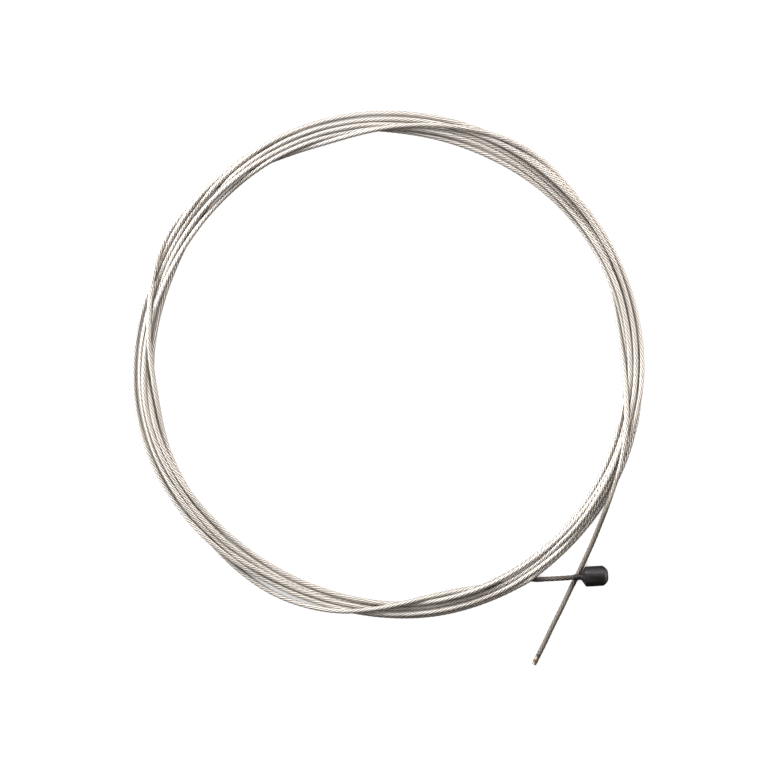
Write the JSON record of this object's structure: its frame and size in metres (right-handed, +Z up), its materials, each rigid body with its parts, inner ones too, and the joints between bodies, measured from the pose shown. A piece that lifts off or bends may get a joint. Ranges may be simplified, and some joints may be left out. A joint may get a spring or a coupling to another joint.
{
  "type": "bicycle shift cable",
  "caption": "Coiled bicycle shift cable: thin stranded steel rope lying in a round coil, with a cast barrel head at one end and a fused, cut tip at the other.",
  "frame": {"origin": "on the surface that the cable lies on, under the middle of the bounding box of the whole cable", "axes": "+Z up from that surface, along the coil's axis; the free end points to -Y and the head's free end points to +X"},
  "size_m": [0.1136, 0.1232, 0.0045],
  "materials": {
    "steel_rope": "bright drawn stainless steel wires in strands twisted into one rope, with brownish grey shade between the strands",
    "dark_casting": "charcoal cast metal, satin, slightly lighter and rubbed at its edges and its bevelled end",
    "braze": "bronze tinted braze over the last wires, dull, with a cut end"
  },
  "bodies": {
    "root": {"coil": "steel_rope", "head_lead": "steel_rope", "tail": "steel_rope", "cable_head": "dark_casting", "fused_tip": "braze"}
  },
  "joints": []
}
